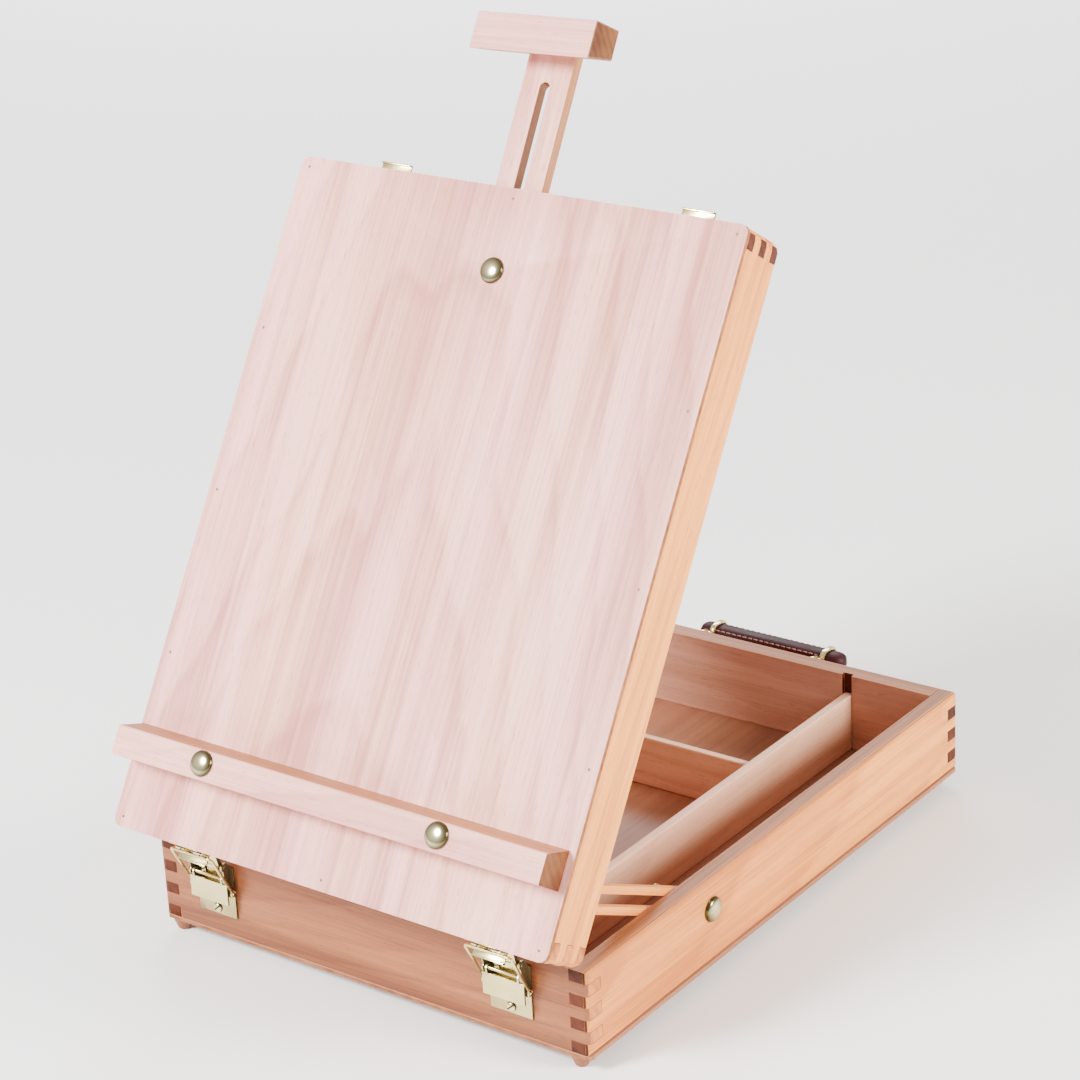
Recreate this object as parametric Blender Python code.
"""Wooden artist easel: a shallow sketch box whose lid opens into a slanted easel.

Metres, +Z up. X runs across the box, Y from its front wall to its back wall.
The base stands on the ground. The lid, with the mast and the canvas ledge, is
built in its own frame, whose Y runs up the lid and whose Z points out of its face,
and is held open at LID_ANGLE about the hinge pins of the two front fittings.
"""
import math

import bmesh
import bpy
from mathutils import Matrix, Vector

# Driving dimensions of the box.
BOX_W = 0.305
BOX_D = 0.400
WALL = 0.012
PANEL = 0.003
FOOT_H = 0.008
BASE_WALL_H = 0.0514
LID_WALL_H = 0.032
GAP = 0.0003
BASE_FINGERS = 7
LID_FINGERS = 5
FLOOR = FOOT_H + PANEL
RIM = FLOOR + BASE_WALL_H
HALF_W = BOX_W / 2
INNER_X = HALF_W - WALL
Y_MID = 0.19456
FOOT_X = (-0.1457, 0.1415)
FOOT_INSET = 0.0070
FOOT_PROFILE = [(0, 0), (0.0030, 0), (0.0041, 0.0012), (0.0056, 0.0050), (0.0062, FOOT_H), (0, FOOT_H)]

# The lid turns about this axis, out in front of the front wall and just below the rim.
HINGE_OUT = 0.007
HINGE_DROP = 0.0025
LID_ANGLE = math.radians(58.2)
LID_TOP = LID_WALL_H + PANEL
LID_ROUND = 0.006

# Mast and canvas ledge, in lid coordinates.
MAST_W = 0.0315
MAST_T = 0.007
MAST_LOW = 0.208
# The block leans over the canvas it grips: (height above its lowest point, distance from the mast's face).
BLOCK_LOW = 0.4713
BLOCK_HALF = 0.040
BLOCK_PROFILE = [(0.0062, GAP), (0.0238, GAP), (0.0218, 0.0238), (0, 0.0238)]
MAST_TOP = 0.494
MAST_TILT = math.radians(1.6)
MAST_BOLT = Vector((-0.0005, 0.3515, 0.0))
MAST_SHIFT = 0.0012
MAST_SLOT = (0.228, 0.4625)
SLOT_W = 0.007
LEDGE_BOLTS = (-0.0852, 0.0798)
LEDGE_BOLT_S = 0.0473
LEDGE_OUT = 0.0558

# Fasteners.
SHANK_R = 0.0020
BORE_R = 0.0023
DOME_R = 0.0075
DOME_H = 0.0034
NUT_H = 0.0080
WASHER_T = 0.0012
SCREW_R = 0.0013
SCREW_HOLE_R = 0.0016
SCREW_DEPTH = 0.009

# Stay arms, which carry the lid: a bolt in the base, a screw in the lid.
STAY_BOLT = Vector((0.0, 0.1203, RIM - 0.0184))
STAY_SCREW = Vector((0.0, 0.0308, 0.0160))
STAY_ARM_T = 0.006
STAY_ARM_W = 0.016
STAY_ARM_X = INNER_X - 0.0012 - STAY_ARM_T / 2
STAY_RISE = math.radians(26.366)
STAY_REACH = 0.13536
STAY_TAIL = 0.012
STAY_EYE_R = 0.0105
STAY_HOLE_R = 0.0052

# Fittings on the front and back walls. "Out" is the distance from the wall's face.
FRONT_X = (-0.1090, 0.1020)
BACK_X = (-0.104, 0.104)
SHEET = 0.0010
PLATE_W = 0.028
PLATE_Z = (RIM - 0.0386, RIM - 0.0054)
LUG_IN = 0.0122
LUG_OUT = 0.0134
LEVER_AXIS = (0.0060, RIM - 0.0110)
LOOP_AXIS = (0.0037, RIM - 0.0204)
LEVER_TIP = RIM - 0.0272
LEVER_HEAD = RIM - 0.0139
LEVER_OUT = 0.0060
LOOP_LEN = 0.0326
LOOP_ARM = (0.0148, 0.0160)
PIN_R = 0.0010
PIN_HOLE_R = 0.00115
FRONT_LOOP_LEAN = math.radians(29.8)
PLATE_SCREWS = [(0.0, RIM - 0.0346), (-0.009, RIM - 0.0118), (0.009, RIM - 0.0118)]
STRIKE_SCREW_N = 0.0170
STRIKE_SCREWS_X = (-0.006, 0.006)

# Carrying handle on the back wall.
HANDLE_X = 0.0073
HANDLE_LINKS = (HANDLE_X - 0.042, HANDLE_X + 0.042)
GRIP_LEN = 0.110
GRIP_OUT = 0.0158
GRIP_Z = RIM - 0.0072
GRIP_SIZE = (0.013, 0.0115)
HANDLE_AXIS = (0.0048, RIM - 0.0105)
BRACKET_SCREWS_Z = (RIM - 0.0245, RIM - 0.0020)

# Material name: (red, green, blue), roughness, metallic.
FINISHES = {
    "pale_wood": ((0.84, 0.66, 0.60), 0.60, 0.0),
    "warm_wood": ((0.80, 0.52, 0.32), 0.55, 0.0),
    "red_wood": ((0.56, 0.27, 0.17), 0.60, 0.0),
    "cream_wood": ((0.82, 0.60, 0.44), 0.60, 0.0),
    "brass": ((0.80, 0.74, 0.52), 0.35, 1.0),
    "leather": ((0.10, 0.02, 0.03), 0.45, 0.0),
}


# ---------------------------------------------------------------- mesh builders

def slab(low, high):
    """A box between two opposite corners."""
    mesh = bmesh.new()
    bmesh.ops.create_cube(mesh, size=1.0)
    size = [b - a for a, b in zip(low, high)]
    centre = [(a + b) / 2 for a, b in zip(low, high)]
    bmesh.ops.scale(mesh, vec=size, verts=mesh.verts)
    bmesh.ops.translate(mesh, vec=centre, verts=mesh.verts)
    return mesh


def prism(outline, low, high, axis="X"):
    """Extrude a closed outline along an axis.

    The outline holds (y, z) points for axis X, (x, z) for Y and (x, y) for Z.
    """
    place = {
        "X": lambda a, b, c: (c, a, b),
        "Y": lambda a, b, c: (a, c, b),
        "Z": lambda a, b, c: (a, b, c),
    }[axis]
    mesh = bmesh.new()
    near = [mesh.verts.new(place(a, b, low)) for a, b in outline]
    far = [mesh.verts.new(place(a, b, high)) for a, b in outline]
    mesh.faces.new(near)
    mesh.faces.new(list(reversed(far)))
    for i in range(len(outline)):
        j = (i + 1) % len(outline)
        mesh.faces.new((near[i], near[j], far[j], far[i]))
    bmesh.ops.recalc_face_normals(mesh, faces=mesh.faces)
    return mesh


def turned(profile, steps=20):
    """Revolve (radius, height) points about Z; the first and last lie on the axis."""
    mesh = bmesh.new()
    first = mesh.verts.new((0, 0, profile[0][1]))
    last = mesh.verts.new((0, 0, profile[-1][1]))
    rings = []
    for radius, height in profile[1:-1]:
        ring = []
        for k in range(steps):
            turn = 2 * math.pi * k / steps
            ring.append(mesh.verts.new((radius * math.cos(turn), radius * math.sin(turn), height)))
        rings.append(ring)
    for k in range(steps):
        j = (k + 1) % steps
        mesh.faces.new((first, rings[0][k], rings[0][j]))
        mesh.faces.new((last, rings[-1][j], rings[-1][k]))
        for a, b in zip(rings, rings[1:]):
            mesh.faces.new((a[k], b[k], b[j], a[j]))
    bmesh.ops.recalc_face_normals(mesh, faces=mesh.faces)
    return mesh


def ring_of(inner, outer, low, high, steps=20):
    """A flat ring about Z, such as a washer."""
    mesh = bmesh.new()
    corners = [(inner, low), (outer, low), (outer, high), (inner, high)]
    rings = []
    for radius, height in corners:
        ring = []
        for k in range(steps):
            turn = 2 * math.pi * k / steps
            ring.append(mesh.verts.new((radius * math.cos(turn), radius * math.sin(turn), height)))
        rings.append(ring)
    for a, b in zip(rings, rings[1:] + rings[:1]):
        for k in range(steps):
            j = (k + 1) % steps
            mesh.faces.new((a[k], b[k], b[j], a[j]))
    bmesh.ops.recalc_face_normals(mesh, faces=mesh.faces)
    return mesh


def rod(radius, low, high, axis="Z", at=(0, 0), steps=12):
    """A cylinder along an axis, through a point of the plane across that axis."""
    return prism(circle(at, radius, steps), low, high, axis)


def circle(centre, radius, steps=20):
    """Points of a circle."""
    turns = [2 * math.pi * k / steps for k in range(steps)]
    return [(centre[0] + radius * math.cos(t), centre[1] + radius * math.sin(t)) for t in turns]


def arc(centre, radius, start, end, steps=4):
    """Points of an arc between two angles in degrees."""
    turns = [math.radians(start + (end - start) * k / steps) for k in range(steps + 1)]
    return [(centre[0] + radius * math.cos(t), centre[1] + radius * math.sin(t)) for t in turns]


def rounded_box(low, high, radius, steps=3):
    """Outline of a rectangle with rounded corners."""
    (x0, y0), (x1, y1) = low, high
    corners = [((x1, y1), 0), ((x0, y1), 90), ((x0, y0), 180), ((x1, y0), 270)]
    points = []
    for (x, y), start in corners:
        centre = (x - math.copysign(radius, x - (x0 + x1) / 2),
                  y - math.copysign(radius, y - (y0 + y1) / 2))
        points += arc(centre, radius, start, start + 90, steps)
    return points


def join(meshes):
    """Put several bodies into one mesh without changing them."""
    whole = bmesh.new()
    for mesh in meshes:
        data = bpy.data.meshes.new("piece")
        mesh.to_mesh(data)
        mesh.free()
        whole.from_mesh(data)
        bpy.data.meshes.remove(data)
    return whole


def moved(mesh, shift=(0, 0, 0), turn=None):
    """Turn a mesh about the origin, then shift it."""
    matrix = Matrix.Translation(shift) @ (turn or Matrix.Identity(4))
    bmesh.ops.transform(mesh, matrix=matrix, verts=mesh.verts)
    return mesh


def boolean(first, second, operation):
    """Exact Boolean of two meshes."""
    temporary = []
    for mesh in (first, second):
        data = bpy.data.meshes.new("operand")
        mesh.to_mesh(data)
        mesh.free()
        item = bpy.data.objects.new("operand", data)
        bpy.context.scene.collection.objects.link(item)
        temporary.append(item)
    modifier = temporary[0].modifiers.new("boolean", "BOOLEAN")
    modifier.operation = operation
    modifier.object = temporary[1]
    graph = bpy.context.evaluated_depsgraph_get()
    result = bmesh.new()
    result.from_mesh(temporary[0].evaluated_get(graph).to_mesh())
    for item in temporary:
        data = item.data
        bpy.data.objects.remove(item)
        bpy.data.meshes.remove(data)
    return result


def cut(body, tools):
    """Take separate tool bodies away from a body."""
    return boolean(body, join(tools), "DIFFERENCE")


def fuse(pieces):
    """Unite overlapping pieces into one body."""
    body = pieces[0]
    for piece in pieces[1:]:
        body = boolean(body, piece, "UNION")
    return body


def round_edges(mesh, chosen, radius, steps=3):
    """Round the edges that a test of their two ends accepts."""
    edges = [e for e in mesh.edges if chosen(e.verts[0].co, e.verts[1].co)]
    bmesh.ops.bevel(mesh, geom=edges, offset=radius, segments=steps, profile=0.5, affect="EDGES")
    return mesh


def near(value, target):
    return abs(value - target) < 1e-5


# ---------------------------------------------------------------- objects

def clear_scene():
    for item in list(bpy.data.objects):
        bpy.data.objects.remove(item, do_unlink=True)


def empty(name, location, parent=None, turn_x=0.0, turn_z=0.0):
    item = bpy.data.objects.new(name, None)
    item.location = location
    item.rotation_euler = (turn_x, 0, turn_z)
    item.parent = parent
    bpy.context.scene.collection.objects.link(item)
    return item


def finish_material(name, finish):
    colour, roughness, metallic = FINISHES[finish]
    material = bpy.data.materials.new(name)
    material.use_nodes = True
    shader = material.node_tree.nodes["Principled BSDF"]
    shader.inputs["Base Color"].default_value = (*colour, 1)
    shader.inputs["Roughness"].default_value = roughness
    shader.inputs["Metallic"].default_value = metallic
    return material


def node(name, mesh, finish, parent, location=(0, 0, 0), rotation=(0, 0, 0), smooth=False):
    """Add one sub-part of the easel."""
    data = bpy.data.meshes.new(name)
    mesh.to_mesh(data)
    mesh.free()
    if smooth:
        data.shade_smooth()
        data.set_sharp_from_angle(angle=math.radians(35))
    data.materials.append(finish_material(name, finish))
    item = bpy.data.objects.new(name, data)
    item.location = location
    item.rotation_euler = rotation
    item.parent = parent
    bpy.context.scene.collection.objects.link(item)
    return item


# ---------------------------------------------------------------- finger-jointed walls

def finger_outline(length, low, high, count, owns_ends, middle=0.0):
    """Outline of a wall whose two ends are cut into fingers.

    The wall is split into equal layers. It runs to its full length on the layers
    it owns and stops short of the other wall on the rest.
    """
    layer = (high - low) / count
    right = []
    for k in range(count):
        owned = (k % 2 == 0) == owns_ends
        reach = length / 2 - (0 if owned else WALL + GAP)
        trim = GAP / 2 if owned else -GAP / 2
        bottom = low if k == 0 else low + k * layer + trim
        top = high if k == count - 1 else low + (k + 1) * layer - trim
        right += [(reach, bottom), (reach, top)]
    left = [(-x, z) for x, z in reversed(right)]
    return [(x + middle, z) for x, z in right + left]


def cross_wall(low, high, count, owns_ends, outer_y, inner_y, radius):
    """A wall that runs along X, with its two outer upright corners rounded."""
    outline = finger_outline(BOX_W, low, high, count, owns_ends)
    mesh = prism(outline, min(outer_y, inner_y), max(outer_y, inner_y), "Y")

    def corner(a, b):
        return all(near(abs(v.x), HALF_W) and near(v.y, outer_y) for v in (a, b))

    return round_edges(mesh, corner, radius)


def side_wall(low, high, count, owns_ends, side, radius):
    """A wall that runs along Y, on the left (side -1) or the right (side 1)."""
    outline = finger_outline(BOX_D, low, high, count, owns_ends, BOX_D / 2)
    outer_x = side * HALF_W
    inner_x = side * INNER_X
    mesh = prism(outline, min(outer_x, inner_x), max(outer_x, inner_x), "X")

    def corner(a, b):
        ends = all(near(v.y, 0) or near(v.y, BOX_D) for v in (a, b))
        return ends and all(near(v.x, outer_x) for v in (a, b))

    return round_edges(mesh, corner, radius)


# ---------------------------------------------------------------- fasteners

def dome_profile(radius, height, shank, length, steps=4):
    """Profile of a domed head on a plain shank, the head's flat side at height 0."""
    points = [(0, height)]
    for k in range(1, steps):
        turn = math.pi / 2 * k / steps
        points.append((radius * math.sin(turn), height * (0.18 + 0.82 * math.cos(turn))))
    return points + [(radius, height * 0.18), (radius, 0), (shank, 0), (shank, -length), (0, -length)]


def dome_bolt(length):
    return turned(dome_profile(DOME_R, DOME_H, SHANK_R, length))


def plate_screw(x, z):
    """A screw through a plate at (x, z), its head sunk a little into the plate's front."""
    screw = turned(dome_profile(0.0028, 0.0015, SCREW_R, SCREW_DEPTH, 2), 10)
    return moved(screw, (x, SHEET - 0.0002, z), Matrix.Rotation(-math.pi / 2, 4, "X"))


def wing_nut():
    """A wing nut bored for the bolt; its seat is at height 0 and its wings above."""
    hub = turned([(0, 0), (0.0052, 0), (0.0052, 0.0012), (0.0040, NUT_H), (0, NUT_H)], 16)
    side = [(0.0020, 0.0022), (0.0075, 0.0048), (0.0120, 0.0092), (0.0128, 0.0120),
            (0.0108, 0.0134), (0.0078, 0.0122), (0.0050, 0.0078), (0.0020, 0.0060)]
    wings = []
    for sign in (-1, 1):
        wings.append(prism([(sign * x, z) for x, z in side], -0.0010, 0.0010, "Y"))
    body = fuse([hub] + wings)
    return cut(body, [rod(BORE_R, -0.001, NUT_H + 0.002)])


# ---------------------------------------------------------------- base box

def screw_holes(places, face, inward):
    """Blind screw holes in a wall that faces along Y."""
    far = face + inward * (SCREW_DEPTH + 0.0005)
    before = face - inward * 0.001
    return [rod(SCREW_HOLE_R, min(far, before), max(far, before), "Y", at) for at in places]


def add_base(base):
    """The four walls, the bottom, the feet and the two dividers."""
    front_holes = [(x + u, z) for x in FRONT_X for u, z in PLATE_SCREWS]
    back_holes = [(x + u, z) for x in BACK_X for u, z in PLATE_SCREWS]
    back_holes += [(x, z) for x in HANDLE_LINKS for z in BRACKET_SCREWS_Z]
    low = FLOOR + GAP
    front = cross_wall(low, RIM, BASE_FINGERS, False, 0, WALL, 0.003)
    node("base_front_wall", cut(front, screw_holes(front_holes, 0, 1)), "red_wood", base)
    back = cross_wall(low, RIM, BASE_FINGERS, False, BOX_D, BOX_D - WALL, 0.003)
    groove = slab((0.0765, BOX_D - WALL - 0.001, FLOOR), (0.0835, BOX_D - WALL + 0.003, RIM + 0.001))
    holes = screw_holes(back_holes, BOX_D, -1)
    node("base_back_wall", cut(back, holes + [groove]), "warm_wood", base)
    for side, name in ((-1, "base_left_wall"), (1, "base_right_wall")):
        wall = side_wall(low, RIM, BASE_FINGERS, True, side, 0.003)
        bore = rod(BORE_R, side * HALF_W - 0.02, side * HALF_W + 0.02, "X", STAY_BOLT.yz)
        node(name, cut(wall, [bore]), "warm_wood", base)
    bottom = rounded_box((-HALF_W, 0), (HALF_W, BOX_D), 0.003)
    node("base_bottom", prism(bottom, FOOT_H + GAP, FLOOR, "Z"), "red_wood", base)
    for side, word in ((-1, "left"), (1, "right")):
        x = FOOT_X[0] if side < 0 else FOOT_X[1]
        node("front_foot_" + word, moved(turned(FOOT_PROFILE), (x, FOOT_INSET, 0)), "red_wood", base)
        node("back_foot_" + word, moved(turned(FOOT_PROFILE), (x, BOX_D - FOOT_INSET, 0)), "red_wood", base)
    divider = slab((0.077, WALL + GAP, low), (0.083, BOX_D - WALL + 0.003 - GAP, RIM - 0.0134))
    node("long_divider", divider, "cream_wood", base)
    cross = slab((-INNER_X + GAP, 0.279, low), (0.077 - GAP, 0.284, RIM - 0.0174))
    node("cross_divider", cross, "cream_wood", base)


# ---------------------------------------------------------------- lid

def add_lid(lid):
    """The lid's four walls and its face panel."""
    for name, outer, inner in (("lid_front_wall", 0, WALL), ("lid_top_wall", BOX_D, BOX_D - WALL)):
        wall = cross_wall(GAP, LID_WALL_H, LID_FINGERS, True, outer, inner, LID_ROUND)
        inward = 1 if outer == 0 else -1
        centres = FRONT_X if outer == 0 else BACK_X
        places = [(x + u, STRIKE_SCREW_N) for x in centres for u in STRIKE_SCREWS_X]
        tools = screw_holes(places, outer, inward)
        if outer:
            notch = slab((-0.0185, inner - 0.001, LID_WALL_H - 0.0078),
                         (0.0175, outer + 0.001, LID_WALL_H + 0.001))
            tools.append(notch)
        node(name, cut(wall, tools), "warm_wood", lid)
    for side, name in ((-1, "lid_left_wall"), (1, "lid_right_wall")):
        wall = side_wall(GAP, LID_WALL_H, LID_FINGERS, False, side, LID_ROUND)
        ends = sorted((side * (INNER_X - 0.001), side * (INNER_X + 0.009)))
        hole = rod(BORE_R, *ends, "X", STAY_SCREW.yz)
        node(name, cut(wall, [hole]), "warm_wood", lid)
    face = prism(rounded_box((-HALF_W, 0), (HALF_W, BOX_D), 0.005), LID_WALL_H + GAP, LID_TOP, "Z")
    bolts = [(x, LEDGE_BOLT_S) for x in LEDGE_BOLTS] + [tuple(MAST_BOLT.xy)]
    tools = [rod(BORE_R, LID_WALL_H - 0.001, LID_TOP + 0.001, "Z", at) for at in bolts]
    node("lid_panel", cut(face, tools), "pale_wood", lid)


def add_ledge(lid):
    """The canvas ledge, its two bolts and their wing nuts behind the panel."""
    low = LID_TOP + GAP
    outline = [(0.0378, low), (0.0600, low), (0.0560, LEDGE_OUT - 0.0010), (0.0552, LEDGE_OUT),
               (0.0397, LEDGE_OUT), (0.0390, LEDGE_OUT - 0.0008)]
    ledge = prism(outline, -0.1505, 0.1485, "X")
    places = [(x, LEDGE_BOLT_S) for x in LEDGE_BOLTS]
    ledge = cut(ledge, [rod(BORE_R, low - 0.001, LEDGE_OUT + 0.001, "Z", at) for at in places])
    node("canvas_ledge", ledge, "pale_wood", lid)
    length = LEDGE_OUT + GAP - (LID_WALL_H - NUT_H - 0.003)
    for x, side, spin in zip(LEDGE_BOLTS, ("left", "right"), (20, -35)):
        head = (x, LEDGE_BOLT_S, LEDGE_OUT + GAP)
        node("ledge_bolt_" + side, dome_bolt(length), "brass", lid, head, smooth=True)
        seat = (x, LEDGE_BOLT_S, LID_WALL_H)
        turn = (math.pi, 0, math.radians(spin))
        node("ledge_wing_nut_" + side, wing_nut(), "brass", lid, seat, turn, smooth=True)


def add_mast(lid):
    """The slotted mast that slides behind the panel, with the block that grips a canvas."""
    frame = empty("mast_frame", (MAST_BOLT.x + MAST_SHIFT, MAST_BOLT.y, 0), lid, turn_z=MAST_TILT)
    top = LID_WALL_H
    half = MAST_W / 2
    low = MAST_LOW - MAST_BOLT.y
    high = MAST_TOP - MAST_BOLT.y
    mast = prism(rounded_box((-half, low), (half, high), 0.002), top - MAST_T, top, "Z")
    slot_low, slot_high = [s - MAST_BOLT.y for s in MAST_SLOT]
    slot = prism(rounded_box((-SLOT_W / 2, slot_low), (SLOT_W / 2, slot_high), SLOT_W / 2 - 1e-5, 6),
                 top - MAST_T - 0.001, top + 0.001, "Z")
    node("mast", cut(mast, [slot]), "pale_wood", frame)
    block_low = BLOCK_LOW - MAST_BOLT.y
    block = prism([(block_low + y, top + z) for y, z in BLOCK_PROFILE], -BLOCK_HALF, BLOCK_HALF, "X")
    node("mast_block", round_edges(block, lambda a, b: True, 0.0008, 2), "pale_wood", frame)
    seat = top - MAST_T - GAP
    bolt = dome_bolt(LID_TOP + GAP - (seat - WASHER_T - NUT_H - 0.003))
    node("mast_bolt", bolt, "brass", lid, (*MAST_BOLT.xy, LID_TOP + GAP), smooth=True)
    washer = ring_of(BORE_R, 0.0075, seat - WASHER_T, seat)
    node("mast_washer", washer, "brass", lid, (*MAST_BOLT.xy, 0), smooth=True)
    nut_seat = (*MAST_BOLT.xy, seat - WASHER_T - GAP)
    node("mast_wing_nut", wing_nut(), "brass", lid, nut_seat, (math.pi, 0, math.radians(60)), smooth=True)


# ---------------------------------------------------------------- stay arms

def stay_arm():
    """A slotted arm: its eye lies over the lid's screw, its slot runs on the base bolt.

    It is drawn along Y with the base bolt at the origin, and the eye towards -Y.
    """
    half = STAY_ARM_W / 2
    thick = STAY_ARM_T / 2
    reach = STAY_REACH
    tail = prism(rounded_box((-reach, -half), (STAY_TAIL, half), half - 1e-5, 8), -thick, thick, "X")
    eye = rod(STAY_EYE_R, -thick, thick, "X", (-reach, 0), 24)
    arm = fuse([tail, eye])
    slot = rounded_box((-reach + 0.0185, -SLOT_W / 2), (SHANK_R + GAP, SLOT_W / 2), SLOT_W / 2 - 1e-5, 6)
    tools = [prism(slot, -thick - 0.001, thick + 0.001, "X")]
    tools.append(rod(STAY_HOLE_R, -thick - 0.001, thick + 0.001, "X", (-reach, 0), 24))
    return cut(arm, tools)


def add_stays(base, lid):
    """Both stay arms with the bolt, washer and wing nut in the base and the screw in the lid."""
    y, z = STAY_BOLT.yz
    for side, word in ((-1, "left"), (1, "right")):
        outward = (0, side * math.pi / 2, 0)
        inward = (0, -side * math.pi / 2, 0)
        arm_inner = STAY_ARM_X - STAY_ARM_T / 2
        swing = empty("stay_swing_" + word, (0, y, z), base, turn_x=-STAY_RISE)
        node("stay_arm_" + word, stay_arm(), "warm_wood", swing, (side * STAY_ARM_X, 0, 0), smooth=True)
        washer_x = arm_inner - GAP - WASHER_T
        washer = ring_of(BORE_R, 0.0082, 0, WASHER_T)
        node("stay_washer_" + word, washer, "brass", swing, (side * washer_x, 0, 0), outward, smooth=True)
        nut_x = washer_x - GAP
        nut_turn = Matrix.Rotation(math.radians(35 * side), 4, "X") @ Matrix.Rotation(inward[1], 4, "Y")
        seat = (side * nut_x, y, z)
        node("stay_wing_nut_" + word, wing_nut(), "brass", base, seat, nut_turn.to_euler(), smooth=True)
        length = HALF_W + GAP - (nut_x - NUT_H - 0.002)
        head = (side * (HALF_W + GAP), y, z)
        node("stay_bolt_" + word, dome_bolt(length), "brass", base, head, outward, smooth=True)
        screw_x = arm_inner - GAP
        screw = turned([(0, 0.0030), (0.0022, 0.0027), (0.0036, 0.0018), (0.0040, 0.0010), (0.0090, 0.0010),
                        (0.0090, 0), (0.0018, 0),
                         (0.0018, -(STAY_ARM_T + 0.0092)), (0, -(STAY_ARM_T + 0.0092))])
        place = (side * screw_x, *STAY_SCREW.yz)
        node("stay_screw_" + word, screw, "brass", lid, place, inward, smooth=True)


# ---------------------------------------------------------------- front and back fittings

def lug_outline(front):
    """Side outline of a base plate's lug, from the wall (out 0) to its pin bosses."""
    top = RIM - HINGE_DROP
    boss = []
    upper = [(SHEET / 2, top - 0.0040)]
    lower = [(SHEET / 2, RIM - 0.0165), (0.0050, RIM - 0.0145)]
    if front:
        boss = arc((HINGE_OUT - GAP, top), 0.0029, -60, 120)
        lower = [(SHEET / 2, RIM - 0.0244), (0.0040, RIM - 0.0234),
                 (0.0055, RIM - 0.0218), (0.0057, RIM - 0.0140)]
    lever = arc(LEVER_AXIS, 0.0024, -50, 50)
    return lower + lever + boss + upper


def base_plate(front):
    """Plate screwed to the wall, with a lug at each side and the pins riveted in them."""
    half = PLATE_W / 2
    plate = slab((-half, 0, PLATE_Z[0]), (half, SHEET, PLATE_Z[1]))
    pieces = [plate]
    for sign in (-1, 1):
        faces = sorted((sign * LUG_IN, sign * LUG_OUT))
        pieces.append(prism(lug_outline(front), *faces, "X"))
    pins = [(LEVER_AXIS, LUG_OUT + 0.0004)]
    if front:
        pins.append((LOOP_AXIS, LOOP_ARM[1] + 0.0006))
        pins.append(((HINGE_OUT - GAP, RIM - HINGE_DROP), LUG_OUT + 0.0004))
    pieces += [rod(PIN_R, -reach, reach, "X", at) for at, reach in pins]
    return fuse(pieces + [plate_screw(*at) for at in PLATE_SCREWS])


def lever(carries_loop):
    """Tension lever: a sheet with two cheeks that turn on the plate's pin."""
    half = PLATE_W / 2
    sheet = slab((-half, LEVER_OUT, LEVER_TIP), (half, LEVER_OUT + 0.0012, LEVER_HEAD))
    y, z = LEVER_AXIS
    outline = arc((y, z), 0.0023, 20, 180) + [(0.0050, RIM - 0.0165), (LEVER_OUT + 0.0006, RIM - 0.0200)]
    if carries_loop:
        loop_y, loop_z = LOOP_AXIS
        boss = arc((loop_y, loop_z), 0.0018, 150, 300)
        outline = arc((y, z), 0.0023, 20, 180) + boss + [(LEVER_OUT + 0.0006, RIM - 0.0240)]
    pieces = [sheet]
    for sign in (-1, 1):
        faces = sorted((sign * 0.0100, sign * 0.0112))
        pieces.append(prism(outline, *faces, "X"))
    if carries_loop:
        pieces.append(rod(PIN_R, -0.0166, 0.0166, "X", LOOP_AXIS))
    return cut(fuse(pieces), [rod(PIN_HOLE_R, -half, half, "X", LEVER_AXIS)])


def loop():
    """Wire loop: two flat arms with eyes at the origin and a bar across their far end (+Z)."""
    pieces = []
    for sign in (-1, 1):
        faces = sorted((sign * LOOP_ARM[0], sign * LOOP_ARM[1]))
        outline = arc((0, 0), 0.0021, 180, 360) + [(0.0011, 0.006), (0.0011, LOOP_LEN + 0.0011),
                                                   (-0.0011, LOOP_LEN + 0.0011), (-0.0011, 0.006)]
        arm = prism(outline, *faces, "X")
        pieces.append(arm)
    reach = LOOP_ARM[0] + 0.0003
    pieces.append(rod(0.0010, -reach, reach, "X", (0, LOOP_LEN)))
    return cut(fuse(pieces), [rod(PIN_HOLE_R, -0.02, 0.02, "X", (0, 0))])


def strike(is_hinge):
    """Plate on the lid with the lip the loop's bar hooks over.

    Drawn with Y as the distance out of the lid's edge and Z as the lid's own height.
    The front ones also carry the lid: they end in a knuckle about the hinge pin.
    """
    half = 0.0105
    plate = slab((-half, GAP, 0.0045), (half, GAP + SHEET, 0.0225))
    lip = prism([(SHEET, 0.0097), (0.0088, 0.0097), (0.0088, 0.0124), (0.0080, 0.0124), (0.0080, 0.0107),
                 (SHEET, 0.0107)], -half, half, "X")
    screws = [moved(plate_screw(x, STRIKE_SCREW_N), (0, GAP, 0)) for x in STRIKE_SCREWS_X]
    pieces = [plate, lip] + screws
    if is_hinge:
        pin = (HINGE_OUT, -HINGE_DROP)
        strap = [(GAP, 0.0055), (GAP, 0.0030), (0.0052, -0.0020), (0.0075, -0.0008), (SHEET + GAP, 0.0055)]
        pieces.append(prism(strap, -half, half, "X"))
        pieces.append(rod(0.0023, -half, half, "X", pin))
        return cut(fuse(pieces), [rod(PIN_HOLE_R, -0.02, 0.02, "X", pin)])
    return fuse(pieces)


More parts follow.
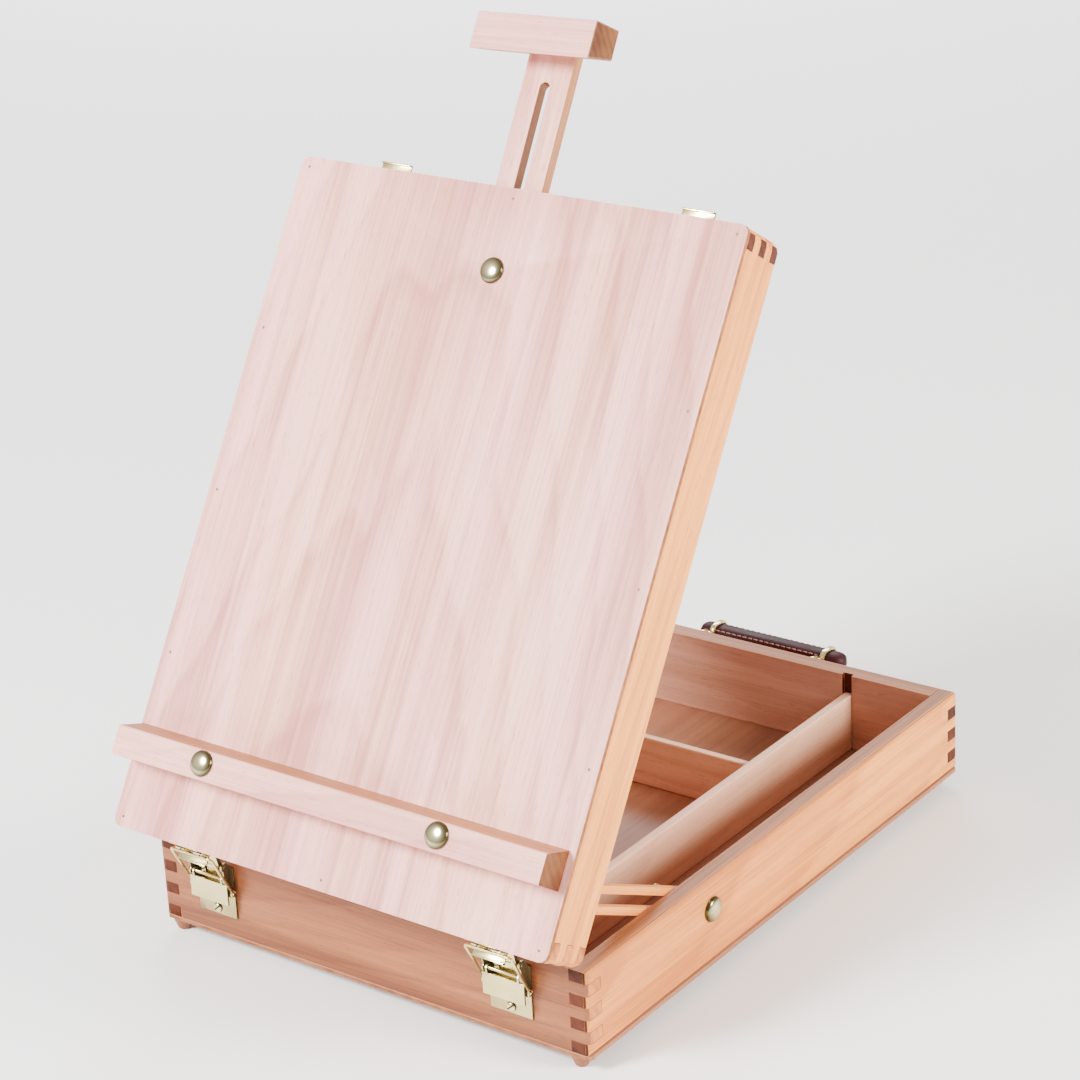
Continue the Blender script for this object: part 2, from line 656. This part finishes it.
def add_fittings(base, lid):
    """Draw latches: the front pair also hinges the lid, the back pair locks it shut."""
    front = (0, 0, math.pi)
    for word, x_front, x_back in zip(("left", "right"), FRONT_X, BACK_X):
        # All are drawn facing +Y, so the front ones are turned about.
        node("front_plate_" + word, base_plate(True), "brass", base, (x_front, -GAP, 0), front)
        lever_axis = (x_front, -GAP - LEVER_AXIS[0], LEVER_AXIS[1])
        lever_mesh = moved(lever(False), (0, -LEVER_AXIS[0], -LEVER_AXIS[1]))
        node("front_lever_" + word, lever_mesh, "brass", base, lever_axis, front)
        loop_axis = (x_front, -GAP - LOOP_AXIS[0], LOOP_AXIS[1])
        node("front_loop_" + word, loop(), "brass", base, loop_axis, (FRONT_LOOP_LEAN, 0, 0))
        node("front_strike_" + word, strike(True), "brass", lid, (x_front, 0, 0), front)
        node("back_plate_" + word, base_plate(False), "brass", base, (x_back, BOX_D + GAP, 0))
        back_axis = (x_back, BOX_D + GAP + LEVER_AXIS[0], LEVER_AXIS[1])
        lever_mesh = moved(lever(True), (0, -LEVER_AXIS[0], -LEVER_AXIS[1]))
        back_lever = node("back_lever_" + word, lever_mesh, "brass", base, back_axis)
        hang = (0, LOOP_AXIS[0] - LEVER_AXIS[0], LOOP_AXIS[1] - LEVER_AXIS[1])
        node("back_loop_" + word, loop(), "brass", back_lever, hang, (math.pi, 0, 0))
        node("back_strike_" + word, strike(False), "brass", lid, (x_back, BOX_D, 0))


# ---------------------------------------------------------------- carrying handle

def grip():
    """Stitched leather grip: a flattened bar with rounded ends, along X."""
    rings = 5
    steps = 16
    mesh = bmesh.new()
    half_y, half_z = GRIP_SIZE[0] / 2, GRIP_SIZE[1] / 2
    stations = []
    for k in range(rings):
        turn = math.pi / 2 * k / (rings - 1)
        stations.append((GRIP_LEN / 2 - 0.007 + 0.007 * math.sin(turn), 0.35 + 0.65 * math.cos(turn)))
    stations = [(-x, s) for x, s in reversed(stations)] + stations
    loops = []
    for x, scale in stations:
        ring = []
        for k in range(steps):
            turn = 2 * math.pi * k / steps
            y = half_y * scale * math.copysign(abs(math.cos(turn)) ** 0.75, math.cos(turn))
            z = half_z * scale * math.copysign(abs(math.sin(turn)) ** 0.75, math.sin(turn))
            ring.append(mesh.verts.new((x, y, z)))
        loops.append(ring)
    for a, b in zip(loops, loops[1:]):
        for k in range(steps):
            j = (k + 1) % steps
            mesh.faces.new((a[k], a[j], b[j], b[k]))
    mesh.faces.new(loops[0])
    mesh.faces.new(list(reversed(loops[-1])))
    bmesh.ops.recalc_face_normals(mesh, faces=mesh.faces)
    return mesh


def handle_link(grip_at):
    """Flat brass link round the grip, with an eye on the bracket's pin at the origin."""
    y, z = grip_at
    half_y, half_z = GRIP_SIZE[0] / 2 + GAP, GRIP_SIZE[1] / 2 + GAP
    band = 0.0014
    outer = rounded_box((y - half_y - band, z - half_z - band),
                        (y + half_y + band, z + half_z + band), 0.0045)
    inner = rounded_box((y - half_y, z - half_z), (y + half_y, z + half_z), 0.0031)
    neck = slab((-0.0017, 0, -0.0020), (0.0017, y - half_y - band / 2, 0.0020))
    body = fuse([prism(outer, -0.0017, 0.0017, "X"), neck, rod(0.0026, -0.0017, 0.0017, "X", (0, 0), 20)])
    return cut(body, [prism(inner, -0.003, 0.003, "X"), rod(PIN_HOLE_R, -0.003, 0.003, "X", (0, 0))])


def handle_bracket():
    """Plate on the back wall with two lugs and the pin between them."""
    y, z = HANDLE_AXIS
    plate = prism(rounded_box((-0.0050, RIM - 0.0285), (0.0050, RIM + 0.0000), 0.002), 0, SHEET, "Y")
    lugs = []
    outline = [(SHEET / 2, z - 0.0045)] + arc((y, z), 0.0024, -70, 70) + [(SHEET / 2, z + 0.0045)]
    for sign in (-1, 1):
        lugs.append(prism(outline, *sorted((sign * 0.0022, sign * 0.0034)), "X"))
    screws = [plate_screw(0, at) for at in BRACKET_SCREWS_Z]
    return fuse([plate] + lugs + [rod(PIN_R, -0.0030, 0.0030, "X", (y, z))] + screws)


def add_handle(base):
    """Leather grip held by two links that swing on brackets on the back wall."""
    axis = (0, BOX_D + GAP + HANDLE_AXIS[0], HANDLE_AXIS[1])
    swing = empty("handle_swing", axis, base)
    grip_at = (GRIP_OUT - HANDLE_AXIS[0], GRIP_Z - HANDLE_AXIS[1])
    node("handle_grip", grip(), "leather", swing, (HANDLE_X, *grip_at), smooth=True)
    for x, word in zip(HANDLE_LINKS, ("left", "right")):
        node("handle_link_" + word, handle_link(grip_at), "brass", swing, (x, 0, 0), smooth=True)
        node("handle_bracket_" + word, handle_bracket(), "brass", base, (x, BOX_D + GAP, 0))


def main():
    clear_scene()
    base = empty("easel", (0, -Y_MID, 0))
    hinge = empty("lid_hinge", (0, -HINGE_OUT, RIM - HINGE_DROP), base, turn_x=LID_ANGLE)
    lid = empty("lid_frame", (0, HINGE_OUT, HINGE_DROP), hinge)
    add_base(base)
    add_lid(lid)
    add_ledge(lid)
    add_mast(lid)
    add_stays(base, lid)
    add_fittings(base, lid)
    add_handle(base)


main()
